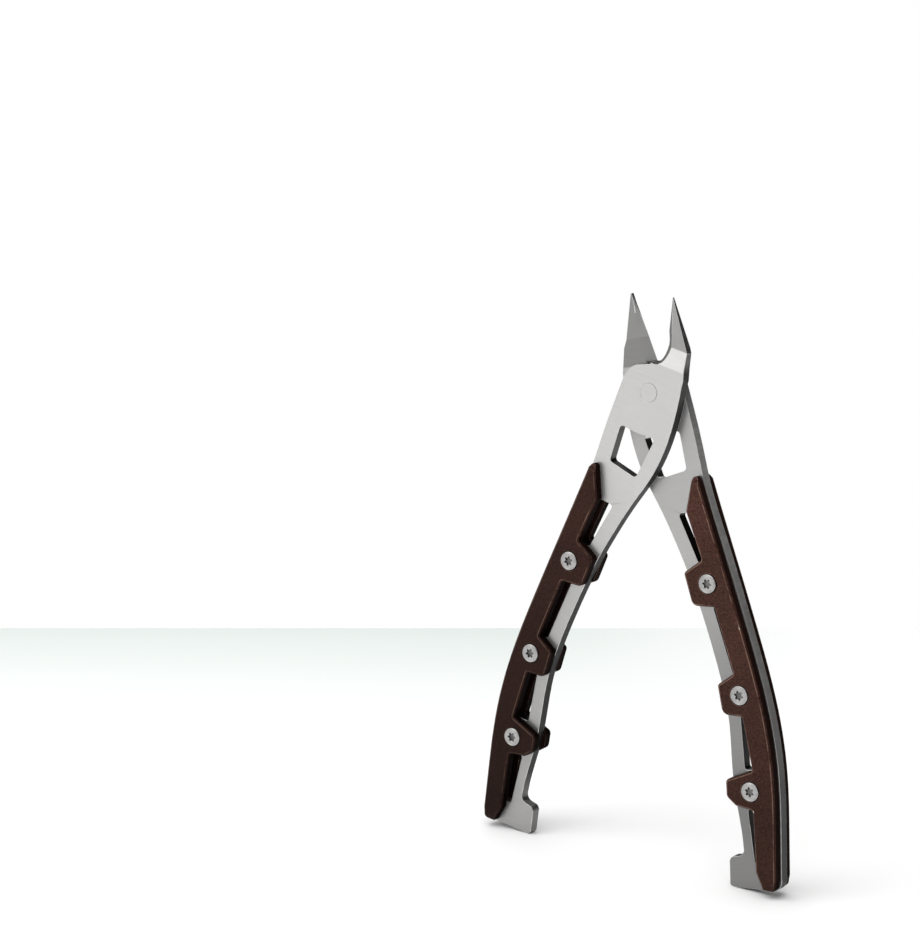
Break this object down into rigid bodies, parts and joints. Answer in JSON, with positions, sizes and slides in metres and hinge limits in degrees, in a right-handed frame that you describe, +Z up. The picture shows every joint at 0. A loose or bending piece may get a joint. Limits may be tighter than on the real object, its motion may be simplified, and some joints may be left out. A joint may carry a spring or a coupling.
{
  "type": "sprue nippers",
  "caption": "Slim lapped-plate nippers with forward-leaning pointed jaws, tail hooks and screwed-on metal handle scales.",
  "frame": {"origin": "on the ground at the middle of the standing tool's footprint, under the pivot", "axes": "+Z up along the tool from the tail hooks to the jaws, +Y from the front plate to the rear plate, X across the two handles"},
  "size_m": [0.0764, 0.01, 0.1268],
  "materials": {
    "plate_steel": "horizontally ground stainless steel with a fine brushed grain",
    "rivet_steel": "steel ground flush with the plates",
    "spring_steel": "blued spring steel",
    "barrel_steel": "turned steel",
    "screw_steel": "satin plated screw with a six-lobe socket",
    "scale_paint": "dark bronze-brown metallic powder coat, worn to copper on the edges"
  },
  "bodies": {
    "front_half": {"front_blade": "plate_steel", "pivot_rivet": "rivet_steel", "return_spring": "spring_steel", "barrel_left_1": "barrel_steel", "barrel_left_2": "barrel_steel", "barrel_left_3": "barrel_steel", "scale_left_front": "scale_paint", "screw_left_front_1": "screw_steel", "screw_left_front_2": "screw_steel", "screw_left_front_3": "screw_steel", "scale_left_back": "scale_paint", "screw_left_back_1": "screw_steel", "screw_left_back_2": "screw_steel", "screw_left_back_3": "screw_steel"},
    "rear_half": {"rear_blade": "plate_steel", "barrel_right_1": "barrel_steel", "barrel_right_2": "barrel_steel", "barrel_right_3": "barrel_steel", "scale_right_front": "scale_paint", "screw_right_front_1": "screw_steel", "screw_right_front_2": "screw_steel", "screw_right_front_3": "screw_steel", "scale_right_back": "scale_paint", "screw_right_back_1": "screw_steel", "screw_right_back_2": "screw_steel", "screw_right_back_3": "screw_steel"}
  },
  "joints": [
    {"name": "pivot", "type": "hinge", "parent": "front_half", "child": "rear_half", "pos_m": [0, 0, 0.10569], "axis": [0, 1, 0], "range_deg": [0, 26.6], "stiffness_Nm_per_rad": 0.4, "springref_deg": -6.88, "deforming": ["return_spring"]}
  ]
}
